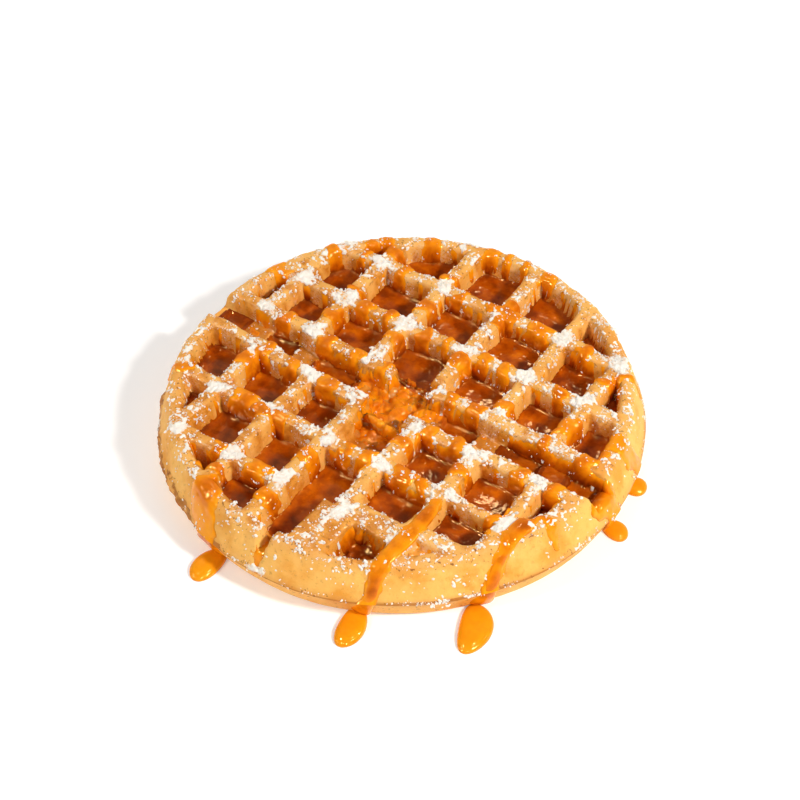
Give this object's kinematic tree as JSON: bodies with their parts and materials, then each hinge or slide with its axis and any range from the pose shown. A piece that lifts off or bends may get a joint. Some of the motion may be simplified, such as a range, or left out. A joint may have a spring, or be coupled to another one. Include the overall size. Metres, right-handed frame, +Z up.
{
  "type": "round waffle",
  "caption": "Thick round waffle with square wells on both faces, syrup pooled in the upper wells, drizzled over the ridges and run down the side into drops at its foot.",
  "frame": {"origin": "on the resting plane, where the two middle ridges of the lower face cross", "axes": "+Z up; X and Y run square to the two sets of ridges; the picture's camera stands towards +X -Y, about 36 degrees round from -Y"},
  "size_m": [0.186, 0.1882, 0.0253],
  "materials": {
    "crust": "golden baked crust, matt with a slight sheen, powdered sugar on the ridges and thick amber syrup over them",
    "syrup": "clear amber to red-brown syrup, wet and glossy"
  },
  "bodies": {
    "root": {"syrup_g_0": "syrup", "syrup_g_1": "syrup", "syrup_g_2": "syrup", "syrup_g_3": "syrup", "syrup_g_4": "syrup", "syrup_g_5": "syrup", "syrup_n1_0": "syrup", "syrup_n1_1": "syrup", "syrup_n1_2": "syrup", "syrup_n1_3": "syrup", "syrup_n1_4": "syrup", "syrup_n1_5": "syrup", "syrup_n1_6": "syrup", "syrup_n2_1": "syrup", "syrup_n2_2": "syrup", "syrup_n2_3": "syrup", "syrup_n2_4": "syrup", "syrup_n2_5": "syrup", "syrup_n2_6": "syrup", "syrup_n3_1": "syrup", "syrup_n3_2": "syrup", "syrup_n3_3": "syrup", "syrup_n3_4": "syrup", "syrup_n3_5": "syrup", "syrup_s1_0": "syrup", "syrup_s1_1": "syrup", "syrup_s1_2": "syrup", "syrup_s1_4": "syrup", "syrup_s1_5": "syrup", "syrup_s1_6": "syrup", "syrup_s2_0": "syrup", "syrup_s2_1": "syrup", "syrup_s2_2": "syrup", "syrup_s2_4": "syrup", "syrup_s2_5": "syrup", "syrup_s3_2": "syrup", "syrup_trough": "syrup", "waffle": "crust"}
  },
  "joints": []
}
